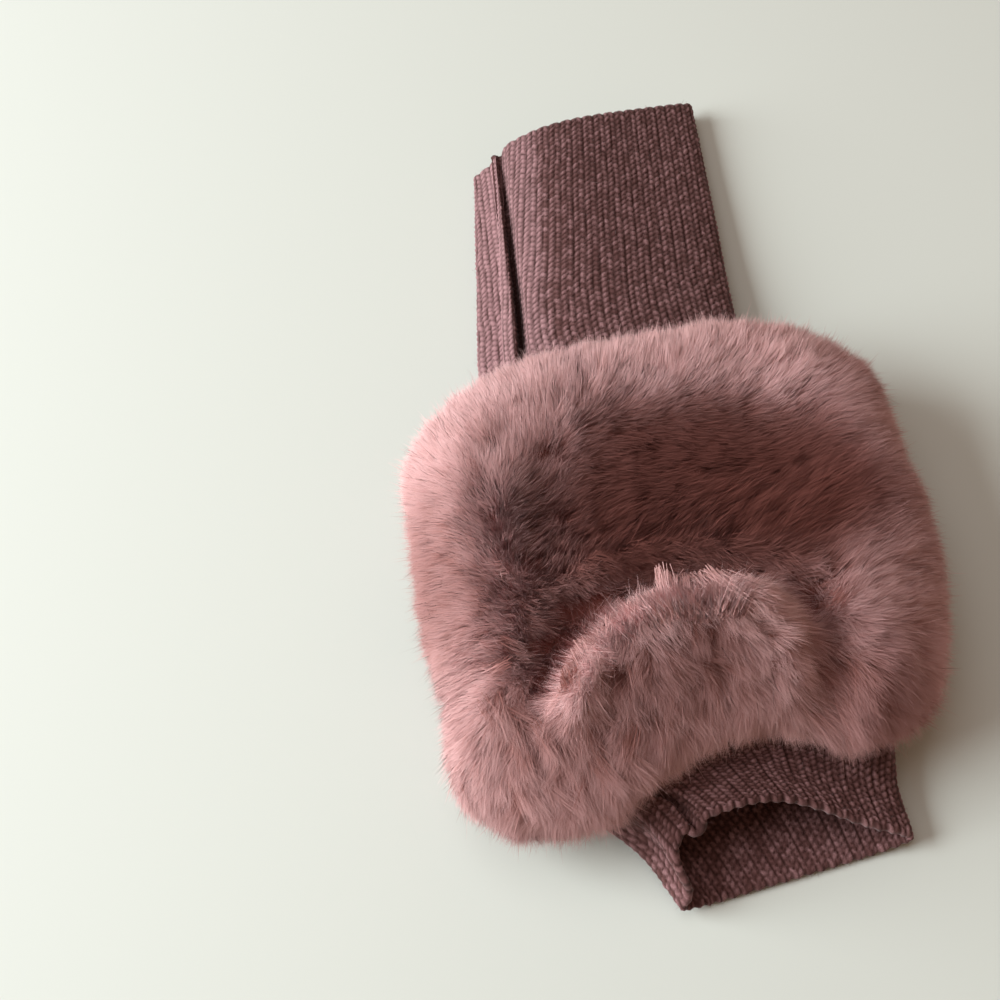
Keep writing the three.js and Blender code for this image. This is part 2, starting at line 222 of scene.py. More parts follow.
def tube_sizes(along):
    """The tube's sizes at places along it. Each cuff has its own width, blended over its seam."""
    row = blend_rows(TUBE_SECTIONS, "along", along)
    in_wrist = smoothstep(along, 0.8, 1)
    in_finger = smoothstep(-along, -0.25, 0)

    def blended(hand, wrist, finger):
        knit = hand + (wrist - hand) * in_wrist
        return knit + (finger - knit) * in_finger

    return dict(
        half_width=row["width"] * blended(HAND_WIDTH, WRIST_WIDTH, FINGER_WIDTH) / 2,
        height=row["height"] * blended(HAND_HEIGHT, WRIST_HEIGHT, FINGER_HEIGHT),
        across=row["across"] * HAND_WIDTH,
        pleat=row["pleat"] * PLEAT_DEPTH,
        step=row["step"] * LOWER_LAYER_STEP,
        square=row["square"],
        slope=row["slope"],
    )


def thinned(sideways, slope):
    """How thick the tube is at places across it, -1 at its left edge to 1 at its right: it thins towards the
    right by its slope."""
    return 1 - slope * smoothstep(sideways, -0.5, 1)


def pleat_gap(x, z, size):
    """How far points of the outline lie in the gap between the lower and the upper layer: a bell across X."""
    middle = size["across"] - size["half_width"] + size["pleat"] + GAP_BEYOND
    upper = smoothstep(z / size["height"], 0.02, 0.12)
    return size["pleat"] / PLEAT_DEPTH * upper * np.exp(-(((x - middle) / GAP_WIDTH) ** 2))


def tube_rings(along, shares):
    """X and Z of the tube's outline: one row for each place along it, one column for each share of the way
    round, from the middle of the palm by way of the left edge. A section is a superellipse flattened at the
    floor, whose left side steps in above the lower layer and folds in between the two."""
    size = {name: value[:, None] for name, value in tube_sizes(along).items()}
    angle = -2 * math.pi * np.arange(OUTLINE_STEPS + 1)[None, :] / OUTLINE_STEPS - math.pi / 2
    cos, sin = np.cos(angle), np.sin(angle)
    wide = np.sign(cos) * np.abs(cos) ** (2 / size["square"])
    tall = np.sign(sin) * np.abs(sin) ** (2 / size["square"])
    rise = (tall + 1) / 2
    left = np.where(cos < 0, wide * wide, 0)
    step_in = size["step"] * smoothstep(rise, STEP_FROM, STEP_TO)
    fold_in = size["pleat"] * np.exp(-(((rise - PLEAT_HEIGHT) / PLEAT_SPREAD) ** 2))
    x = size["across"] + wide * size["half_width"] + left * (step_in + fold_in - LOWER_LAYER_OUT * size["step"])
    z = np.maximum((size["height"] + REST_FLAT) / 2 * (tall + 1) - REST_FLAT, 0) * thinned(wide, size["slope"])
    z = z - GAP_DEPTH * pleat_gap(x, z, size)
    length = np.cumsum(np.hypot(np.diff(x, axis=1), np.diff(z, axis=1)), axis=1)
    length = np.pad(length, ((0, 0), (1, 0)))
    rings = [
        (np.interp(shares * far[-1], far, xs), np.interp(shares * far[-1], far, zs))
        for far, xs, zs in zip(length, x, z)
    ]
    return np.array([r[0] for r in rings]), np.array([r[1] for r in rings])


def outward_of(x, z):
    """Unit vectors in X and Z that point out of closed rings: each ring's own direction, turned a quarter."""
    dx = np.roll(x, -1, axis=1) - np.roll(x, 1, axis=1)
    dz = np.roll(z, -1, axis=1) - np.roll(z, 1, axis=1)
    length = np.maximum(np.hypot(dx, dz), 1e-9)
    return -dz / length, dx / length


def place_along(zone, x, z, along, size):
    """Y of the tube's points in one of its three lengths. The cuffs' ends slant, and the finger cuff's upper
    lip is set back."""
    sideways = (x - size["across"]) / (2 * size["half_width"])
    if zone == "wrist":
        return HAND_LENGTH / 2 + PIECE_GAP + (along - 1) * (WRIST_LENGTH + WRIST_END_SLANT * sideways)
    if zone == "finger":
        set_back = UPPER_LIP_SET_BACK * smoothstep(z / size["height"], 0.25, 1)
        return -HAND_LENGTH / 2 - PIECE_GAP + along * (FINGER_LENGTH - set_back - FINGER_END_SLANT * sideways)
    return (along - 0.5) * HAND_LENGTH + 0 * x


def in_frame(points):
    """Millimetres in the hand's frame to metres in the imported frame."""
    return points * MM + np.array(REST_POINT)


def grid_faces(rows, columns, closed_rows):
    """Quads of a grid that closes on itself across, and along too if closed_rows."""
    r = np.arange(rows if closed_rows else rows - 1)[:, None]
    c = np.arange(columns)[None, :]
    after_r, after_c = (r + 1) % rows, (c + 1) % columns
    quads = [r * columns + c, r * columns + after_c, after_r * columns + after_c, after_r * columns + c]
    return np.stack(np.broadcast_arrays(*quads), -1).reshape(-1, 4)


def mesh_piece(name, points, loops, starts, materials, values=(), normals=None):
    """A mesh object from arrays: points in millimetres, the faces' corners one after another, where each face
    starts, for each of values a number for each point, and the points' normals where they are given."""
    placed = in_frame(points)
    mesh = bpy.data.meshes.new(name)
    mesh.vertices.add(len(placed))
    mesh.vertices.foreach_set("co", placed.astype(np.float32).ravel())
    mesh.loops.add(len(loops))
    mesh.loops.foreach_set("vertex_index", loops.astype(np.int32))
    mesh.polygons.add(len(starts))
    mesh.polygons.foreach_set("loop_start", starts.astype(np.int32))
    mesh.polygons.foreach_set("use_smooth", np.ones(len(starts), bool))
    mesh.update(calc_edges=True)
    for key, numbers in dict(values).items():
        layer = mesh.attributes.new(key, "FLOAT", "POINT")
        layer.data.foreach_set("value", np.asarray(numbers, np.float32).ravel())
    if normals is not None:
        mesh.normals_split_custom_set_from_vertices(normals.astype(np.float32))
    piece = bpy.data.objects.new(name, mesh)
    bpy.context.scene.collection.objects.link(piece)
    for material in materials:
        mesh.materials.append(material)
    return piece


def inside_out(points, quads):
    """Whether the quads of a closed mesh face inwards: the volume that they enclose is then negative."""
    a, b, c, d = (points[quads[:, i]] for i in range(4))
    return np.einsum("ij,ij->i", a, np.cross(b, c) + np.cross(c, d)).sum() < 0


def quads_piece(name, points, quads, materials, values=()):
    """A closed mesh of quads, with its faces pointing out."""
    if inside_out(points, quads):
        quads = quads[:, ::-1]
    return mesh_piece(name, points, quads.ravel(), np.arange(0, quads.size, 4), materials, values)


def stitch_relief(wale, course, seed):
    """Height of the yarn, 0 in the grooves to 1 on the crests, and a random tone for each leg, at places
    counted in wales and courses. A wale is a row of V stitches: two legs that lean together, each a bead that
    swells and dives under the next."""
    side = np.abs(2 * (wale - np.floor(wale)) - 1)
    across = np.sqrt(np.clip(1 - ((side - 0.5) / 0.507) ** 2, 0, 1))
    phase = course + LEG_SLANT * side + 0.5 * (np.floor(2 * wale) % 2)
    bead = np.clip(np.sin(math.pi * (phase - np.floor(phase)) ** 0.85), 0, 1) ** 0.6
    table = np.random.default_rng(seed).uniform(0, 1, (211, 97))
    tone = table[np.floor(2 * wale).astype(int) % 211, np.floor(phase).astype(int) % 97]
    return across * (0.12 + 0.88 * bead) * (0.8 + 0.3 * tone), tone


def uneven(seed, rows, columns, row_step, column_step):
    """Smooth noise between -1 and 1 on a grid that closes across: random values at every few rows and
    columns, blended smoothly between."""
    random = np.random.default_rng(seed)
    down, over = rows // row_step + 2, max(columns // column_step, 1)
    knots = random.uniform(-1, 1, (down, over))
    r, c = np.arange(rows) / row_step, np.arange(columns) / columns * over
    r0, c0 = np.floor(r).astype(int), np.floor(c).astype(int)
    tr, tc = smoothstep(r - r0, 0, 1)[:, None], smoothstep(c - c0, 0, 1)[None, :]
    top = knots[r0][:, c0 % over] * (1 - tc) + knots[r0][:, (c0 + 1) % over] * tc
    low = knots[r0 + 1][:, c0 % over] * (1 - tc) + knots[r0 + 1][:, (c0 + 1) % over] * tc
    return top * (1 - tr) + low * tr


def knit_tube(name, zone, span, wales, courses, wall, relief, groove, samples, inner_samples, materials, seed,
              pale=0):
    """One length of the tube as a closed wall. The outer side runs from span[0] to span[1] with stitches in
    relief, turns over a rounded lip at the far end and comes back inside. Each point is the section's
    outline, moved out along its own normal by the stitch's height less the groove between wales. Painted
    shade darkens the gap beside the lower layer, and painted light pales the left flank, which faces the
    window light, by "pale"."""
    columns = wales * samples[0]
    shares = np.arange(columns) / columns
    count = courses * samples[1] + 1
    outer = np.linspace(span[0], span[1], count)
    inner = np.linspace(span[1], span[0], int(courses * inner_samples) + 1)
    along = np.concatenate([outer, np.full(3, span[1]), inner])
    onward = 1 if span[1] > span[0] else -1
    x, z = tube_rings(along, shares)
    out_x, out_z = outward_of(x, z)
    turn = np.concatenate([np.zeros(len(outer)), np.linspace(0, math.pi, 5)[1:4], np.full(len(inner), math.pi)])
    depth = wall * (1 - np.cos(turn)) / 2
    bulge = np.sin(turn) * wall / 2 * onward
    course = [np.linspace(0, courses, len(outer)), np.full(3, courses), np.linspace(courses, 0, len(inner))]
    course = np.concatenate(course)[:, None]
    wander = 0.10 * uneven(seed, len(along), columns, 4 * samples[1], 2 * samples[0])
    wale = shares[None, :] * wales + wander
    bumpy = course + 0.25 * uneven(seed + 1, len(along), columns, 5, samples[0])
    height, tone = stitch_relief(wale, bumpy, seed + 2)
    side = np.abs(2 * (wale - np.floor(wale)) - 1)
    sunk = groove * smoothstep(side, 0.65, 1)
    raised = relief * (height - 1) - sunk
    inside = (turn >= math.pi - 1e-6)[:, None]
    edge = np.sin(turn)[:, None]
    shift = -depth[:, None] + np.where(inside, -0.7 * raised, raised) * (1 - 0.6 * edge)
    size = {key: value[:, None] for key, value in tube_sizes(along).items()}
    y = place_along(zone, x, z, along[:, None], size)
    from_end = np.abs(along - span[1])[:, None]
    scallop = np.exp(-(from_end * courses / 0.9)) * (0.5 - side) * 0.55
    y = y + (bulge[:, None] + scallop * onward)
    points = np.stack([x + out_x * shift, y, np.maximum(z + out_z * shift, 0.02)], -1).reshape(-1, 3)
    quads = grid_faces(len(along), columns, True)
    gap = np.where(inside, 0, pleat_gap(x, z, size))
    # Painted light: the outer left flank, which faces the window light, gets its tone raised by pale, which
    # pales its colour.
    tone = tone + np.where(inside, 0, pale * smoothstep(-out_x, 0.02, 0.26))
    # Painted shade: the crest value darkens the colour between the stitches, along the wale edges and in the
    # gap by the pleat.
    shade = np.clip(height * (1 - 0.15 * smoothstep(side, 0.7, 1)), 0, 1) * (1 - 0.9 * gap)
    values = dict(crest=shade, tone=tone, wale=wale + 0 * height, course=course + 0 * height)
    return quads_piece(name, points, quads, materials, values)


def knit_fuzz(name, knit, count, length, width, materials, seed):
    """Short loose fibres that stand off a knit piece: thin triangles at its points, leaning at random."""
    random = np.random.default_rng(seed)
    mesh = knit.data
    places = np.empty(len(mesh.vertices) * 3, np.float32)
    mesh.vertices.foreach_get("co", places)
    normals = np.empty_like(places)
    mesh.vertex_normals.foreach_get("vector", normals)
    picks = random.choice(len(mesh.vertices), count, replace=False)
    start = (places.reshape(-1, 3)[picks] - np.array(REST_POINT)) / MM
    out = normals.reshape(-1, 3)[picks]
    way = unit(out + random.normal(0, 0.75, (count, 3)))
    side = unit(np.cross(way, random.normal(0, 1, (count, 3)))) * width / 2
    end = start + way * (length * random.uniform(0.4, 1.3, count))[:, None]
    end[:, 2] = np.maximum(end[:, 2], 0.1)
    points = np.stack([start - side, start + side, end], 1).reshape(-1, 3)
    bent = np.repeat(unit(out + 0.3 * way), 3, axis=0)
    level = np.full(3 * count, 0.9)
    tone = np.repeat(random.uniform(0, 1, count), 3)
    values = dict(crest=level, tone=tone, wale=tone * 97, course=tone * 61)
    return mesh_piece(name, points, np.arange(3 * count), np.arange(0, 3 * count, 3), materials, values, bent)


def thumb_oval(share, inset):
    """X and Y of the thumb hole's oval, drawn in by a distance, at shares of the way round."""
    angle = 2 * math.pi * share
    long, wide = (THUMB_LENGTH / 2 - inset) * np.cos(angle), (THUMB_WIDTH / 2 - inset) * np.sin(angle)
    cos, sin = math.cos(THUMB_TURN), math.sin(THUMB_TURN)
    return THUMB_ACROSS + long * cos - wide * sin, THUMB_ALONG + long * sin + wide * cos


def thumb_rim(name, materials):
    """The knitted edging of the thumb hole: a rounded band swept round the oval, its stitches in relief on
    the side and lip that show."""
    columns, rows = RIM_STITCHES * 5, 24
    share = np.arange(columns) / columns
    turn = 2 * math.pi * np.arange(rows)[:, None] / rows
    cos, sin = np.cos(turn), np.sin(turn)
    across = np.sign(cos) * np.abs(cos) ** 0.6
    tall = np.sign(sin) * np.abs(sin) ** 0.6
    wale = share[None, :] * RIM_STITCHES + 0 * turn
    height, tone = stitch_relief(wale, 2 * turn / math.pi, SEED + 12)
    raised = RIM_RELIEF * (height - 1)
    half = RIM_WALL / 2 + raised
    inset = PIECE_GAP + RIM_WALL / 2 - across * half
    x, y = thumb_oval(share[None, :], inset)
    z = RIM_LIFT + RIM_HEIGHT / 2 + tall * (RIM_HEIGHT / 2 + raised)
    points = np.stack([x, y, np.maximum(z, 0.05)], -1).reshape(-1, 3)
    # Painted shade: crest darkens the colour between the rim's stitches.
    values = dict(crest=np.clip(height, 0, 1), tone=tone, wale=wale, course=4 * turn / math.pi + 0 * wale)
    return quads_piece(name, points, grid_faces(rows, columns, True), materials, values)


def cut_by(piece, cutter):
    """Takes a closed shape away from a piece for good, and removes the shape."""
    cut = piece.modifiers.new("cut", "BOOLEAN")
    cut.operation = "DIFFERENCE"
    cut.solver = "EXACT"
    cut.object = cutter
    bpy.context.view_layer.update()
    graph = bpy.context.evaluated_depsgraph_get()
    opened = bpy.data.meshes.new_from_object(piece.evaluated_get(graph), depsgraph=graph)
    piece.modifiers.clear()
    piece.data = opened
    bpy.data.objects.remove(cutter, do_unlink=True)


def capped(name, rings, materials):
    """A closed mesh through rings of points, with a fan over the first and the last."""
    rows, columns = rings.shape[:2]
    points = np.concatenate([rings.reshape(-1, 3), [rings[0].mean(0), rings[-1].mean(0)]])
    quads = grid_faces(rows, columns, False)
    first = np.arange(columns)
    after = (first + 1) % columns
    last = (rows - 1) * columns
    first_fan = np.stack([first, np.full(columns, rows * columns), after], -1)
    last_fan = np.stack([last + first, last + after, np.full(columns, rows * columns + 1)], -1)
    faces = [quads, first_fan, last_fan]
    if inside_out(points, quads):
        faces = [face[:, ::-1] for face in faces]
    loops = np.concatenate([face.ravel() for face in faces])
    fans = quads.size + np.arange(0, 6 * columns, 3)
    return mesh_piece(name, points, loops, np.concatenate([np.arange(0, quads.size, 4), fans]), materials)


def thumb_cutter():
    """A prism of the thumb hole's oval, through the palm side of the hand."""
    x, y = thumb_oval(np.arange(96) / 96, 0)
    rings = np.stack([np.stack([x, y, np.full(len(x), z)], -1) for z in (-3.0, HAND_HEIGHT / 2)])
    return capped("thumb_cutter", rings, [])


def tube_cutter():
    """The knit tube grown by its margin and carried below the floor, over the fur's whole length."""
    along = np.linspace(-1.1, 1.4, 41)
    x, z = tube_rings(along, np.arange(120) / 120)
    out_x, out_z = outward_of(x, z)
    height = tube_sizes(along)["height"][:, None]
    length = np.where(along > 1, WRIST_LENGTH, np.where(along < 0, FINGER_LENGTH, HAND_LENGTH))
    y = np.where(along > 1, along - 1, np.where(along < 0, along, 0)) * length
    y = y + (np.clip(along, 0, 1) - 0.5) * HAND_LENGTH
    low = np.where(z < 0.3 * height, -4.0, 0.0) * smoothstep(0.3 * height - z, 0, 0.25 * height)
    rings = np.stack([x + TUBE_MARGIN * out_x, y[:, None] + 0 * x, z + TUBE_MARGIN * out_z + low], -1)
    return capped("tube_cutter", rings, [])


class Signal:
    """A value on its way through a material's nodes. Arithmetic on it adds Math nodes."""

    def __init__(self, finish, socket):
        self.finish = finish
        self.socket = socket

    def math(self, operation, *others):
        return self.finish.node("ShaderNodeMath", {"operation": operation}, [self, *others])

    def __add__(self, other):
        return self.math("ADD", other)

    def __sub__(self, other):
        return self.math("SUBTRACT", other)

    def __mul__(self, other):
        return self.math("MULTIPLY", other)

    def __pow__(self, other):
        return self.math("POWER", other)

    def clamped(self):
        return self.finish.node("ShaderNodeClamp", {}, {"Value": self})


class Finish:
    """A material in the making, whose nodes are added one by one."""

    def __init__(self, name):
        self.material = bpy.data.materials.new(name)
        self.material.use_nodes = True
        self.tree = self.material.node_tree
        self.tree.nodes.clear()

    def node(self, kind, settings=None, inputs=(), output=0):
        """Adds a node with its settings, and puts values or links into its inputs, by number or name."""
        made = self.tree.nodes.new(kind)
        for key, value in (settings or {}).items():
            setattr(made, key, value)
        pairs = inputs.items() if isinstance(inputs, dict) else enumerate(inputs)
        for key, value in pairs:
            if isinstance(value, Signal):
                self.tree.links.new(value.socket, made.inputs[key])
            else:
                made.inputs[key].default_value = value
        return Signal(self, made.outputs[output]) if made.outputs else None

    def attribute(self, name):
        return self.node("ShaderNodeAttribute", {"attribute_name": name}, output=2)

    def object_place(self):
        return self.node("ShaderNodeTexCoord", output=3)

    def noise(self, scale, detail=2.0, vector=None):
        inputs = {"Scale": scale, "Detail": detail, "Vector": vector or self.object_place()}
        return self.node("ShaderNodeTexNoise", {}, inputs)

    def mix(self, factor, low, high):
        """A colour between two colours."""
        return self.node("ShaderNodeMix", {"data_type": "RGBA"}, {0: factor, 6: low, 7: high}, output=2)

    def bump(self, height, strength, distance):
        return self.node("ShaderNodeBump", {}, {"Height": height, "Strength": strength, "Distance": distance})

    def surface(self, **inputs):
        """Ends the material with one Principled shader. Underscores in names stand for spaces."""
        shader = self.node("ShaderNodeBsdfPrincipled", {}, {k.replace("_", " "): v for k, v in inputs.items()})
        self.node("ShaderNodeOutputMaterial", {}, {"Surface": shader})
        return self.material


def knit_finish(name, yarn, shade, light):
    """Two-ply wool blend, heathered from stitch to stitch, with painted shade between the stitches, a painted
    highlight on their crests and painted light on the flank that faces the window.
    """
    f = Finish(name)
    crest, tone = f.attribute("crest"), f.attribute("tone")
    wale, course = f.attribute("wale"), f.attribute("course")
    stitch = f.node("ShaderNodeCombineXYZ", {}, [wale * 2, course * 1.3, 0.0])
    heather = f.noise(1.0, 3.0, stitch)
    ply = f.noise(2300.0, 3.0)
    # Painted highlight: high crest values pull the colour towards the pale heather, along with the random
    # heather and tone.
    melange = f.mix((heather * 0.9 + tone * 0.8 + crest * 0.8 - 0.95).clamped(), yarn, light)
    # Ply noise mixes heather into the yarn at random; where tone runs over 1, painted light on the left flank
    # adds more heather.
    ply_and_flank_light = f.mix(((ply - 0.5) * 1.5 + 0.4 - (tone - 1).clamped()).clamped(), melange, yarn)
    # Painted shade: where crest is low, between the stitches and in the gap by the pleat, the colour goes to
    # shade.
    colour = f.mix(((crest - 0.12) * 1.35).clamped() ** 1.1, shade, ply_and_flank_light)
    bump = f.bump(ply * 0.6 + heather * 0.4, 0.55, 0.0005)
    return f.surface(
        Base_Color=colour, Roughness=0.92, Normal=bump, Sheen_Weight=0.22, Sheen_Roughness=0.45,
        Sheen_Tint=(0.95, 0.75, 0.78, 1), Specular_IOR_Level=0.25,
    )


def fur_finish(name, root, pile, tip, flat, crest):
    """Acrylic pile: dark and warm at the roots, paler at the tips, with painted highlight on the crests and
    painted shade over the hollow and other shaded parts, and a tone of its own for each hair."""
    f = Finish(name)
    reach, tone, painted_shading = f.attribute("reach"), f.attribute("tone"), f.attribute("painted_shading")
    # nap also shifts the root and tip blends: painted shade keeps more root colour, painted highlight more tip
    # colour.
    lower = f.mix(((reach - 0.2 - painted_shading * 0.2) * 2.0).clamped(), root, pile)
    upper = f.mix(((reach - 0.5 - painted_shading * 0.25) * 2.0).clamped(), lower, tip)
    toned = f.mix((tone * 0.35).clamped(), upper, pile)
    # Painted shade: positive nap mixes in the dark flat colour; painted highlight: negative nap mixes in the
    # pale crest colour.
    colour = f.mix((painted_shading * 0.6).clamped(), f.mix((painted_shading * -0.34).clamped(), toned, crest), flat)
    return f.surface(
        Base_Color=colour, Roughness=0.7, Sheen_Weight=0.04, Sheen_Roughness=0.4,
        Sheen_Tint=(1.0, 0.8, 0.8, 1), Specular_IOR_Level=0.14,
    )


def backing_finish(name, root, pile):
    """The dense lower pile that shows dark between the locks."""
    f = Finish(name)
    colour = f.mix((f.noise(900.0, 3.0) * 0.5 - 0.1).clamped(), root, pile)
    bump = f.bump(f.noise(1500.0, 2.0), 0.8, 0.001)
    return f.surface(Base_Color=colour, Roughness=0.95, Normal=bump, Specular_IOR_Level=0.1)


def fold_rise(x, y):
    """How far the folds lift the envelope: a sum of ridges and hollows, each flat along its length and
    falling off across it by its back and front flanks."""
    rise = np.zeros_like(x)
    for fold in FUR_FOLDS:
        dx = x / FUR_HALF_WIDTH - fold["across"]
        dy = y / FUR_HALF_LENGTH - fold["along"]
        cos, sin = math.cos(math.radians(fold["turn"])), math.sin(math.radians(fold["turn"]))
        lengthwise, crosswise = dx * cos + dy * sin, dy * cos - dx * sin
        flank = np.where(crosswise > 0, fold["back"], fold["front"])
        rise += fold["rise"] * np.exp(-((lengthwise / fold["length"]) ** 4) - (crosswise / flank) ** 2)
    return rise * PILE_TOP_REACH


# Finer ridges and creases of the pile along paths over the ground: "rise" millimetres high within "reach".
FUR_RIDGES = [
    dict(name="left_arm", rise=3.5, reach=7, path=[(-50, 44), (-57, 28), (-60, 6), (-60, -16), (-58, -34)]),
    dict(name="left_band", rise=-3, reach=7, path=[(-28, 30), (-32, 12), (-33, -8), (-38, -24)]),
    dict(name="top_rim", rise=2.5, reach=8, path=[(-42, 50), (-20, 57), (5, 60), (30, 60), (46, 52)]),
    dict(name="roll_top", rise=3.5, reach=5, path=[
        (-39, -37), (-32, -28), (-25, -23.5), (-15, -20.5), (-5, -19.5), (4, -21.5), (12, -25), (17, -31),
        (16, -39)]),
    dict(name="roll_back", rise=-5.5, reach=5, path=[
        (-45, -36), (-38, -22), (-30, -14.5), (-18, -10.5), (-6, -9), (5, -11), (17, -15), (25, -22)]),
    dict(name="roll_end", rise=-2, reach=4.5, path=[(25, -22), (27, -34), (23, -46)]),
]


def ridge_rise(x, y):
    """How far the finer ridges lift the envelope: a bell across each path, by the distance to it."""
    rise = np.zeros_like(x)
    for ridge in FUR_RIDGES:
        path = np.array(ridge["path"], float)
        nearest = np.full(x.shape, np.inf)
        for start, end in zip(path, path[1:]):
            along = end - start
            t = np.clip(((x - start[0]) * along[0] + (y - start[1]) * along[1]) / (along @ along), 0, 1)
            nearest = np.minimum(nearest, np.hypot(x - start[0] - t * along[0], y - start[1] - t * along[1]))
        rise += ridge["rise"] * np.exp(-((nearest / ridge["reach"]) ** 2))
    return rise


def fur_point(turn, lean, inset):
    """The fur's envelope as a low dome: turn runs round it in degrees, lean from 0 at the crown by 90 at its
    widest to 180 at the floor. Inset draws it in by that distance."""
    reach = blend_rows(FUR_OUTLINE, "turn", turn % 360)["reach"]
    cos, sin = np.cos(np.radians(turn)), np.sin(np.radians(turn))
    roll = SIDE_ROLL_HEIGHT + (END_ROLL_HEIGHT - SIDE_ROLL_HEIGHT) * sin**4
    rising = np.abs(np.cos(np.radians(lean)))
    above = lean <= 90
    spread = np.where(above, np.sin(np.radians(lean)).clip(0, 1) ** SHOULDER_ROUND, 1 - UNDERCUT * rising**2)
    x = (FUR_HALF_WIDTH * reach - inset) * spread * cos
    y = (FUR_HALF_LENGTH * reach - inset) * spread * sin
    raised = fold_rise(x, y) + ridge_rise(x, y)
    top = roll + (FUR_HEIGHT - inset - roll) * rising**CROWN_ROUND + raised * np.sqrt(rising)
    return np.stack([x, y, np.where(above, top, roll * (1 - rising))], -1)


def fur_normal(turn, lean):
    """Outward unit normals of the envelope, from small steps in turn and lean."""
    step = 0.4
    lean = np.clip(lean, 1.0, 178.0)
    across = fur_point(turn + step, lean, 0) - fur_point(turn - step, lean, 0)
    down = fur_point(turn, lean + step, 0) - fur_point(turn, lean - step, 0)
    return unit(np.cross(down, across))


# Where the pile is combed: around "across, along" within "reach" millimetres it points "toward" degrees from
# +X and lies over by "lay" degrees from upright. Its locks differ by "ruffle", its tips reach "longer"
# millimetres further, and "nap" mixes in painted shade, the dark flat colour, or painted highlight, the pale
# crest colour, where it is negative. Nearby combs are averaged by "weight".
COMB_COLUMNS = ("across", "along", "reach", "toward", "lay", "ruffle", "longer", "painted_shading", "weight")
COMBS = [dict(zip(COMB_COLUMNS, row)) for row in (
    (8, 22, 24, -33, 52, 0.25, 0, 1.9, 1.3),
    (-10, 4, 17, -45, 42, 0.3, 0, 1.9, 1.2),
    (30, 4, 16, -20, 50, 0.3, 0, 2.4, 1.6),
    (46, 16, 12, -12, 48, 0.3, 0, 1.9, 1.2),
    (62, 26, 13, -8, 40, 0.5, 0, -0.4, 1.4),
    (8, 56, 14, 66, 26, 0.8, 0, -1.5, 1.8),
    (36, 54, 13, 50, 26, 0.8, 0, -1.8, 1.8),
    (-34, 50, 16, 105, 26, 0.7, 0, -0.6, 1.4),
    (-68, 8, 16, 178, 32, 0.5, 0, 0.9, 1.4),
    (44, -22, 14, 22, 38, 0.9, 2, -0.2, 1.4),
    (33, -45, 10, -70, 44, 0.8, 8, 1.5, 1.8),
    (40, -52, 16, -66, 50, 0.8, 18, 0, 2.0),
    (62, -28, 13, -30, 40, 0.9, 1, -0.3, 1.0),
    (-46, 12, 12, -120, 8, 1.0, 0, -0.4, 1.6),
    (-34, 8, 10, -50, 24, 0.8, 0, 1.0, 1.4),
    (-47, -14, 10, -100, 10, 1.0, 0, 0, 1.4),
    (-37, -16, 8, -60, 24, 0.8, 0, 1.3, 1.4),
    (-44, -42, 9, -105, 36, 1.0, 5, 0.8, 1.6),
    (0, -44, 15, -114, 48, 1.0, 10, 0, 1.6),
    (-40, -56, 14, -112, 42, 1.3, 13, 0.25, 2.0),
    (-39, -34, 5, -118, 22, 0.6, 2, -0.8, 2.4),
    (-32, -27, 6, -150, 12, 0.8, 1, -1.8, 2.4),
    (-18, -20, 7, -140, 12, 0.8, 1, -1.8, 2.4),
    (-3, -19, 7, -120, 14, 0.9, 1, -1.8, 2.4),
    (11, -25, 7, -40, 20, 1.0, 1, -1.6, 2.4),
    (12, -34, 7, -12, 40, 1.2, 3, -0.2, 2.2),
    (-4, -33, 7, -50, 34, 1.2, 3, 1.1, 2.0),
    (-24, -36, 7, -125, 30, 1.2, 3, 0.6, 1.8),
    (-14, -4, 7, -60, 24, 0.4, 0, 1.5, 1.4),
    (6, -2, 8, -60, 24, 0.4, 0, 1.5, 1.4),
    (23, -6, 7, -40, 24, 0.4, 0, 1.2, 1.2),
)]
COMB_CENTRE = (-40, 4)


def combing(points):
    """How the pile lies at points: its direction over the ground, and its lay, ruffle and longer, and the
    painted shading nap. Away from the named combs it points outwards from one centre and lies over more with
    distance. Where combs pull apart it stands up between."""
    away = points[:, :2] - np.array(COMB_CENTRE)
    far = np.linalg.norm(away, axis=1)
    total = np.full(len(points), 0.35)
    pull = unit(away) * (total * np.sin(np.radians(10 + 26 * smoothstep(far, 6, 34))))[:, None]
    blended = dict(ruffle=total * 0.6, longer=total * 0, painted_shading=total * 0)
    for comb in COMBS:
        near = np.linalg.norm(points[:, :2] - np.array([comb["across"], comb["along"]]), axis=1)
        weight = comb["weight"] * np.exp(-((near / comb["reach"]) ** 2))
        toward = math.radians(comb["toward"])
        slope = math.sin(math.radians(comb["lay"]))
        pull += weight[:, None] * slope * np.array([math.cos(toward), math.sin(toward)])
        for key in blended:
            blended[key] = blended[key] + weight * comb[key]
        total += weight
    strength = np.linalg.norm(pull, axis=1)
    blended = {key: value / total for key, value in blended.items()}
    blended["lay"] = np.degrees(np.arcsin(strength / total))
    return pull / np.maximum(strength, 1e-6)[:, None], blended


def tip_places(turn, lean):
    """Where the tips of the pile lie for places on the envelope: the tip, the envelope's normal, the
    direction that the pile lies over in, and its combing."""
    tip, normal = fur_point(turn, lean, 0), fur_normal(turn, lean)
    ground, pile = combing(tip)
    side_wall = 1 - np.abs(normal[..., 2:])
    fall = np.concatenate([ground, -0.7 * side_wall], -1)
    return tip, normal, fall, pile


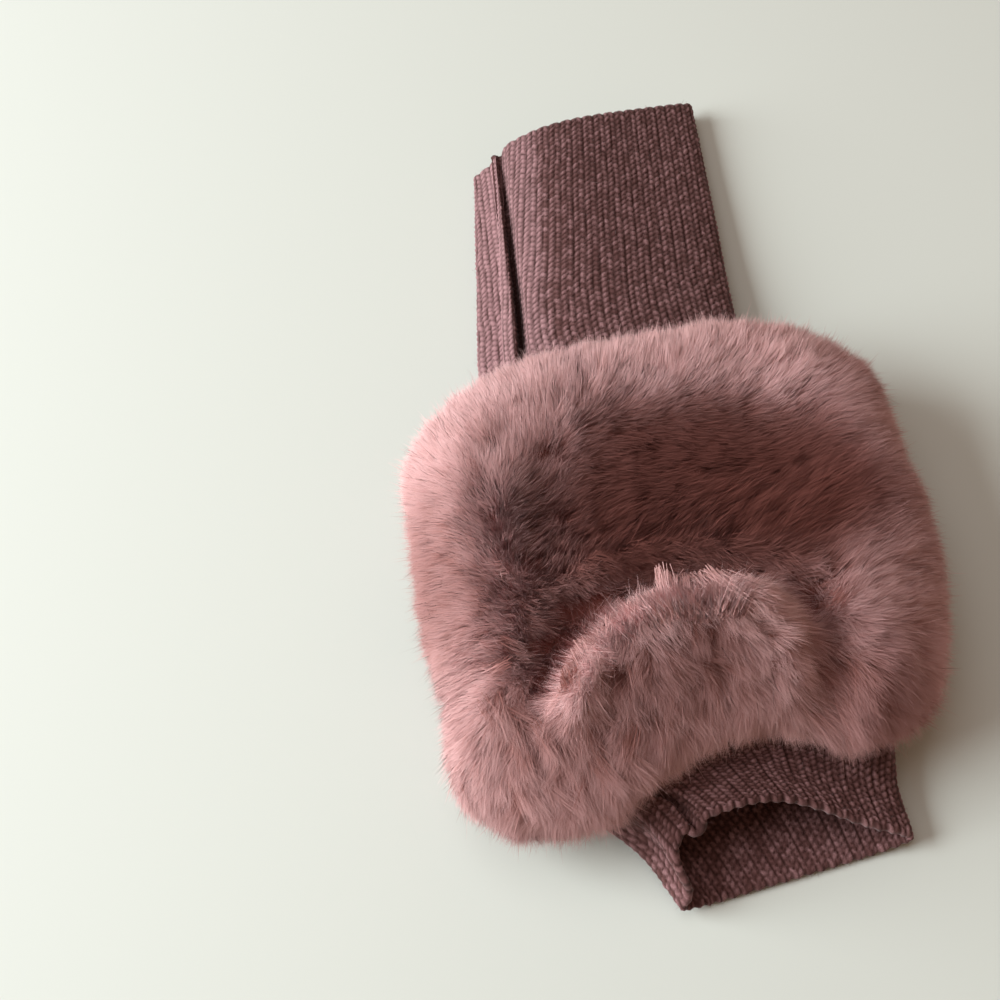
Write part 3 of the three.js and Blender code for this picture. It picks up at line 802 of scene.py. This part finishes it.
def fur_samples(count, random):
    """Turns and leans of hair tips, down to the lowest lean: spread over the area that the tips make once the
    longer pile is drawn out, and closer together where the pile stands up."""
    turns, leans = np.arange(0, 362, 2.0), np.append(np.arange(0, LOWEST_LEAN, 1.5), LOWEST_LEAN)
    turn, lean = np.meshgrid(turns, leans)
    tip, _, fall, pile = tip_places(turn.ravel(), lean.ravel())
    tip = (tip + unit(fall) * pile["longer"][:, None]).reshape(*turn.shape, 3)
    one, two = tip[1:, 1:] - tip[:-1, :-1], tip[1:, :-1] - tip[:-1, 1:]
    upright = np.cos(np.radians(pile["lay"])).reshape(turn.shape)[1:, 1:] ** 4
    area = np.linalg.norm(np.cross(one, two), axis=-1) * (1 + 0.9 * upright)
    picks = np.searchsorted(np.cumsum(area) / area.sum(), random.uniform(0, 1, count))
    picks = np.minimum(picks, area.size - 1)
    row, column = np.divmod(picks, area.shape[1])
    turn = turns[column] + random.uniform(0, 2, count)
    lean = leans[row] + (leans[row + 1] - leans[row]) * random.uniform(0, 1, count)
    return turn, lean


def tube_around(points, margin):
    """Where points lie by the knit tube grown by a margin: whether inside it, how high its top is there, and
    how far above its middle they are, 1 at its top."""
    y = points[..., 1]
    along = np.where(
        np.abs(y) <= HAND_LENGTH / 2,
        y / HAND_LENGTH + 0.5,
        np.where(y > 0, 1 + (y - HAND_LENGTH / 2) / WRIST_LENGTH, (y + HAND_LENGTH / 2) / FINGER_LENGTH),
    )
    size = tube_sizes(along)
    half = (size["height"] + REST_FLAT) / 2
    sideways = (points[..., 0] - size["across"]) / (size["half_width"] + margin)
    wide, thin = np.abs(sideways), thinned(sideways, size["slope"])
    tall = (points[..., 2] / thin - half + REST_FLAT) / (half + margin)
    square = size["square"]
    inside = (along > -1) & (along < 2) & (wide**square + np.abs(tall) ** square < 1)
    top = half - REST_FLAT + (half + margin) * (1 - np.minimum(wide, 1) ** square) ** (1 / square)
    return inside, top * thin, tall


def drift(points, wavelength, seed):
    """Smooth noise at points, mostly between -1 and 1: the sum of waves that run in random directions."""
    random = np.random.default_rng(seed)
    waves = unit(random.normal(0, 1, (8, 3))) * random.uniform(0.7, 1.5, (8, 1)) * 2 * math.pi / wavelength
    return np.sin(points @ waves.T + random.uniform(0, 2 * math.pi, 8)).sum(1) / 3


def fur_strands(clumps, strands, seed, length, width):
    """Hairs as thin triangles, in clumps. A clump's tips lie on the envelope and its roots below it, back
    along the way that the pile is combed. Each hair shows from part of the way up and narrows to a point."""
    random = np.random.default_rng(seed)
    turn, lean = fur_samples(clumps, random)
    tip, normal, fall, pile = tip_places(turn, lean)
    keep = ~tube_around(tip, 1.0)[0]
    tip, normal, fall = tip[keep], normal[keep], fall[keep]
    pile = {key: value[keep] for key, value in pile.items()}
    lay, ruffle = pile["lay"], pile["ruffle"]
    count = len(tip)
    swing = 0.5 * drift(tip, 16, SEED) + 0.4 * drift(tip, 7, SEED + 1) + random.normal(0, 0.28, count)
    swing = ruffle * swing
    fall = np.stack(
        [fall[:, 0] * np.cos(swing) - fall[:, 1] * np.sin(swing),
         fall[:, 0] * np.sin(swing) + fall[:, 1] * np.cos(swing), fall[:, 2]], -1)
    over = unit(fall - normal * np.einsum("ij,ij->i", fall, normal)[:, None])
    lay = lay + 8 * ruffle * drift(tip, 9, SEED + 2) + (3 + 6 * ruffle) * random.normal(0, 1, count)
    lay = np.radians(np.clip(lay, 2, 74))
    upright, lying = np.cos(lay)[:, None], np.sin(lay)[:, None]
    lift = (ruffle * 0.9 * drift(tip, 6, SEED + 3) + random.normal(0, 0.35, count))[:, None]
    long = (length * random.uniform(0.9, 1.1, count))[:, None]
    tip = tip + normal * lift
    root = tip - long * (upright * normal + lying * over)
    tip = tip + over * pile["longer"][:, None]
    across = unit(np.cross(normal, over))

    pick = np.repeat(np.arange(count), strands)
    total = len(pick)
    angle = random.uniform(0, 2 * math.pi, total)
    radius = LOCK_RADIUS * np.sqrt(random.uniform(0, 1, total))
    spread = (over[pick] * np.cos(angle)[:, None] + across[pick] * np.sin(angle)[:, None]) * radius[:, None]
    gather = (ruffle[pick] * random.uniform(0.1, 0.85, total))[:, None]
    short = random.uniform(0.76, 1.03, total)[:, None]
    wild = random.uniform(0, 1, total)[:, None] ** 4
    fly = random.normal(0, 1, (total, 3)) * (0.4 + 1.5 * wild)
    start = root[pick] + spread
    end = start + (tip[pick] + spread * (1 - gather) + fly - start) * short
    start = start + (end - start) * HAIR_FROM
    line = np.stack([start, end], 1)
    inside, top, tall = tube_around(line, TUBE_MARGIN)
    line[..., 2] = np.where(inside & (tall > 0), np.maximum(line[..., 2], top), line[..., 2])
    line[..., 2] = np.maximum(line[..., 2], 0.25)
    way = unit(line[:, 1] - line[:, 0])
    side = unit(np.cross(way, normal[pick] + random.normal(0, 0.35, (total, 3))))
    half = side * width * random.uniform(0.35, 0.65, total)[:, None]
    points = np.stack([line[:, 0] - half, line[:, 0] + half, line[:, 1]], 1)
    face = np.cross(side, way)
    face = face * np.sign(np.einsum("ij,ij->i", face, normal[pick]))[:, None]
    flat = unit(0.5 * face + 0.75 * normal[pick])
    normals = unit(np.stack([flat - 0.4 * side, flat + 0.4 * side, flat], 1)).reshape(-1, 3)
    reach = np.array([HAIR_FROM, HAIR_FROM, 1.0]) * short
    tone = np.repeat(random.uniform(0, 1, total) * 0.6 + 0.4 * random.uniform(0, 1, count)[pick], 3)
    # nap is each hair's painted shading: painted shade where positive, painted highlight where negative.
    values = dict(reach=reach, tone=tone, painted_shading=np.repeat(pile["painted_shading"][pick], 3))
    return points.reshape(-1, 3), np.arange(3 * total), np.arange(0, 3 * total, 3), values, normals


def lower_pile(name, materials, seed):
    """The dense lower pile as a closed dome, drawn in from the envelope and ruffled by smooth noise, and cut
    away where the knit tube lies."""
    turns = np.arange(LOWER_PILE_TURNS) * 360 / LOWER_PILE_TURNS
    turn, lean = np.meshgrid(turns, np.linspace(0, 172, LOWER_PILE_BANDS)[1:])
    rough = uneven(seed, LOWER_PILE_BANDS - 1, LOWER_PILE_TURNS, 2, 3) * 0.9
    rings = fur_point(turn, lean, LOWER_PILE_INSET) + fur_normal(turn, lean) * rough[..., None]
    rings[..., 2] = np.maximum(rings[..., 2], 0.3)
    backing = capped(name, rings, materials)
    cut_by(backing, tube_cutter())
    return backing


def rgb(value):
    return (*value, 1.0)


class GloveKnit(bpy.types.PropertyGroup):
    yarn: bpy.props.FloatVectorProperty(
        name="Yarn", description="Colour of the yarn", default=(0.155, 0.062, 0.061), subtype="COLOR")
    # Painted shade: the colour laid between the stitches and in the gap by the pleat.
    shade: bpy.props.FloatVectorProperty(
        name="Between stitches", description="Colour deep between the stitches", default=(0.04, 0.012, 0.010),
        subtype="COLOR")
    # Heather: real paler fibre in the yarn, and also the colour of the painted highlight on stitch crests and
    # of the painted light on the left flank.
    light: bpy.props.FloatVectorProperty(
        name="Heather", description="Paler fibre in the yarn", default=(0.375, 0.197, 0.212), subtype="COLOR")
    relief: bpy.props.FloatProperty(
        name="Stitch relief", description="How far the stitches stand out", default=0.0007, min=0, precision=5,
        subtype="DISTANCE", unit="LENGTH")


class GloveFur(bpy.types.PropertyGroup):
    root: bpy.props.FloatVectorProperty(
        name="Root", description="Colour of the pile at its roots", default=(0.25, 0.085, 0.072),
        subtype="COLOR")
    pile: bpy.props.FloatVectorProperty(
        name="Pile", description="Colour half way up the pile", default=(0.50, 0.225, 0.21), subtype="COLOR")
    # Painted highlight: the pale colour mixed in on crests and rims that catch the window light.
    crest: bpy.props.FloatVectorProperty(
        name="Crests", description="Colour of the pile on crests", default=(0.96, 0.56, 0.55), subtype="COLOR")
    # Painted shade: the dark colour mixed in over the hollow and other shaded pile.
    flat: bpy.props.FloatVectorProperty(
        name="Flat pile", description="Colour of pile that lies flat", default=(0.17, 0.052, 0.042),
        subtype="COLOR")
    tip: bpy.props.FloatVectorProperty(
        name="Tips", description="Colour of the pile's tips", default=(0.82, 0.51, 0.525), subtype="COLOR")
    length: bpy.props.FloatProperty(
        name="Length", description="Length of the pile", default=0.012, min=0.002, subtype="DISTANCE",
        unit="LENGTH")
    width: bpy.props.FloatProperty(
        name="Hair width", description="Width of a hair low down", default=0.00019, min=0.00005, precision=5,
        subtype="DISTANCE", unit="LENGTH")
    clumps: bpy.props.IntProperty(
        name="Clumps", description="Locks in each of the four pieces of pile", default=3400, min=10)
    strands: bpy.props.IntProperty(
        name="Hairs", description="Hairs in each lock", default=53, min=1)


class GloveStage(bpy.types.PropertyGroup):
    floor: bpy.props.FloatVectorProperty(
        name="Floor", description="Colour of the floor", default=(0.70, 0.70, 0.67), subtype="COLOR")
    power: bpy.props.FloatProperty(
        name="Window", description="Power of the soft window light", default=36.0, min=0, unit="POWER")
    sky: bpy.props.FloatProperty(
        name="Sky", description="Power of the weak light from above", default=4.0, min=0, unit="POWER")
    fill: bpy.props.FloatProperty(
        name="Fill", description="Strength of the light from all round", default=0.24, min=0)


def worn_as(piece, slot, *nodes):
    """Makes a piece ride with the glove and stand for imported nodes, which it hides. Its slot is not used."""
    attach(piece, "root")
    if nodes:
        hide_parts(*nodes)
    return piece


def wool(name):
    """The knit's material, in the colours that the panel sets."""
    look = bpy.context.scene.glove_knit
    return knit_finish(name, rgb(look.yarn), rgb(look.shade), rgb(look.light))


def ribbed_cuff(node, finish, zone, span, courses, inner_samples, fibres, seed, pale=0):
    """A ribbed cuff in place of its solid, and the loose fibres that stand off it."""
    relief = bpy.context.scene.glove_knit.relief / MM
    cuff = knit_tube(f"{node}_knit", zone, span, RIB_WALES, courses, RIB_WALL, relief, RIB_GROOVE, (7, 4),
                     inner_samples, [finish], seed, pale)
    worn_as(cuff, "ribbed_knit", node)
    fuzz = knit_fuzz(f"{node}_fuzz", cuff, fibres, FUZZ_LENGTH, FUZZ_WIDTH, [finish], seed + 2)
    worn_as(fuzz, "ribbed_knit")


class GLOVE_OT_wrist_cuff(bpy.types.Operator):
    """Knit the long ribbed wrist cuff"""
    bl_idname = "glove.wrist_cuff"
    bl_label = "Wrist cuff"

    def execute(self, context):
        finish = wool("ribbed_wool")
        ribbed_cuff("wrist_cuff", finish, "wrist", (1, 2), WRIST_COURSES, 0.4, WRIST_FIBRES, SEED, FLANK_PAINTED_LIGHT)
        return {"FINISHED"}


class GLOVE_OT_finger_cuff(bpy.types.Operator):
    """Knit the short ribbed finger cuff"""
    bl_idname = "glove.finger_cuff"
    bl_label = "Finger cuff"

    def execute(self, context):
        finish = wool("ribbed_wool_fingers")
        ribbed_cuff("finger_cuff", finish, "finger", (0, -1), FINGER_COURSES, 3, FINGER_FIBRES, SEED + 4)
        return {"FINISHED"}


class GLOVE_OT_hand_body(bpy.types.Operator):
    """Knit the plain hand, with its thumb hole"""
    bl_idname = "glove.hand_body"
    bl_label = "Hand"

    def execute(self, context):
        relief = HAND_RELIEF * context.scene.glove_knit.relief / MM
        hand = knit_tube("hand_body_knit", "hand", (0, 1), HAND_WALES, HAND_COURSES, HAND_WALL, relief,
                         HAND_GROOVE, (3, 1), 0.4, [wool("plain_wool")], SEED + 8)
        cut_by(hand, thumb_cutter())
        worn_as(hand, "plain_knit", "hand_body")
        return {"FINISHED"}


class GLOVE_OT_thumb_rim(bpy.types.Operator):
    """Knit the edging of the thumb hole"""
    bl_idname = "glove.thumb_rim"
    bl_label = "Thumb rim"

    def execute(self, context):
        worn_as(thumb_rim("thumb_rim_knit", [wool("rim_wool")]), "ribbed_knit", "thumb_rim")
        return {"FINISHED"}


class GLOVE_OT_fur_panel(bpy.types.Operator):
    """Lay the faux fur over the back of the hand"""
    bl_idname = "glove.fur_panel"
    bl_label = "Fur panel"

    def execute(self, context):
        look = context.scene.glove_fur
        pile = fur_finish("fur_pile", rgb(look.root), rgb(look.pile), rgb(look.tip), rgb(look.flat),
                          rgb(look.crest))
        lower = backing_finish("fur_lower_pile", rgb(look.root), rgb(look.pile))
        worn_as(lower_pile("fur_lower_pile", [lower], SEED + 30), "faux_fur", "fur_panel")
        for part in range(PILE_PIECES):
            hairs = fur_strands(look.clumps, look.strands, SEED + 50 + part, look.length / MM, look.width / MM)
            points, loops, starts, values, normals = hairs
            piece = mesh_piece(f"fur_pile_{part + 1}", points, loops, starts, [pile], values, normals)
            worn_as(piece, "faux_fur")
        return {"FINISHED"}


class GLOVE_OT_stage(bpy.types.Operator):
    """Set the pale floor, the soft window light and the camera"""
    bl_idname = "glove.stage"
    bl_label = "Stage"

    def execute(self, context):
        look = context.scene.glove_stage
        ground = Finish("pale_floor").surface(Base_Color=rgb(look.floor), Roughness=0.8)
        corners = FLOOR_REACH * np.array([[-1, -1, 0], [1, -1, 0], [1, 1, 0], [-1, 1, 0]])
        floor = mesh_piece("floor", corners, np.arange(4), np.array([0]), [ground])
        world = bpy.data.worlds.new("room")
        world.use_nodes = True
        background = world.node_tree.nodes["Background"]
        background.inputs["Color"].default_value = FILL_COLOUR
        background.inputs["Strength"].default_value = look.fill
        context.scene.world = world
        light_at("window", WINDOW_PLACE, LIGHT_TARGET, WINDOW_SIZE, look.power, WINDOW_COLOUR)
        light_at("sky", SKY_PLACE, LIGHT_TARGET, SKY_SIZE, look.sky, SKY_COLOUR)
        context.scene.view_settings.view_transform = "Standard"
        camera = bpy.data.cameras.new("photo_view")
        camera.lens = CAMERA_LENS
        camera.sensor_width = 36
        camera.clip_start = 0.01
        spot = bpy.data.objects.new("photo_view", camera)
        context.scene.collection.objects.link(spot)
        aim(spot, CAMERA_PLACE, CAMERA_TARGET)
        context.scene.camera = spot
        return {"FINISHED"}


def aim(thing, place, target):
    """Points a camera or light at a target from a place, both in millimetres in the hand's frame."""
    start, end = (Vector(in_frame(np.array(p, float))) for p in (place, target))
    thing.location = start
    thing.rotation_mode = "QUATERNION"
    thing.rotation_quaternion = (end - start).to_track_quat("-Z", "Y")


def light_at(name, place, target, size, power, colour):
    """A square soft light."""
    lamp = bpy.data.lights.new(name, "AREA")
    lamp.shape = "SQUARE"
    lamp.size = size * MM
    lamp.energy = power
    lamp.color = colour
    thing = bpy.data.objects.new(name, lamp)
    bpy.context.scene.collection.objects.link(thing)
    aim(thing, place, target)


OPERATORS = (
    GLOVE_OT_wrist_cuff,
    GLOVE_OT_finger_cuff,
    GLOVE_OT_hand_body,
    GLOVE_OT_thumb_rim,
    GLOVE_OT_fur_panel,
    GLOVE_OT_stage,
)


class GLOVE_PT_panel(bpy.types.Panel):
    """Lists the glove's pieces and their looks"""
    bl_idname = "GLOVE_PT_panel"
    bl_label = "Fingerless glove"
    bl_space_type = "VIEW_3D"
    bl_region_type = "UI"
    bl_category = "Glove"

    def draw(self, context):
        for operator in OPERATORS:
            self.layout.operator(operator.bl_idname)
        for group in (context.scene.glove_knit, context.scene.glove_fur, context.scene.glove_stage):
            for name in group.__annotations__:
                self.layout.prop(group, name)


GROUPS = (GloveKnit, GloveFur, GloveStage)


def register():
    for kind in (*GROUPS, *OPERATORS, GLOVE_PT_panel):
        bpy.utils.register_class(kind)
    bpy.types.Scene.glove_knit = bpy.props.PointerProperty(type=GloveKnit)
    bpy.types.Scene.glove_fur = bpy.props.PointerProperty(type=GloveFur)
    bpy.types.Scene.glove_stage = bpy.props.PointerProperty(type=GloveStage)


def unregister():
    del bpy.types.Scene.glove_stage
    del bpy.types.Scene.glove_fur
    del bpy.types.Scene.glove_knit
    for kind in (GLOVE_PT_panel, *reversed(OPERATORS), *reversed(GROUPS)):
        bpy.utils.unregister_class(kind)


def main():
    """Builds the whole glove and its stage."""
    register()
    bpy.ops.glove.wrist_cuff()
    bpy.ops.glove.finger_cuff()
    bpy.ops.glove.hand_body()
    bpy.ops.glove.thumb_rim()
    bpy.ops.glove.fur_panel()
    bpy.ops.glove.stage()


if __name__ == "__main__":
    main()
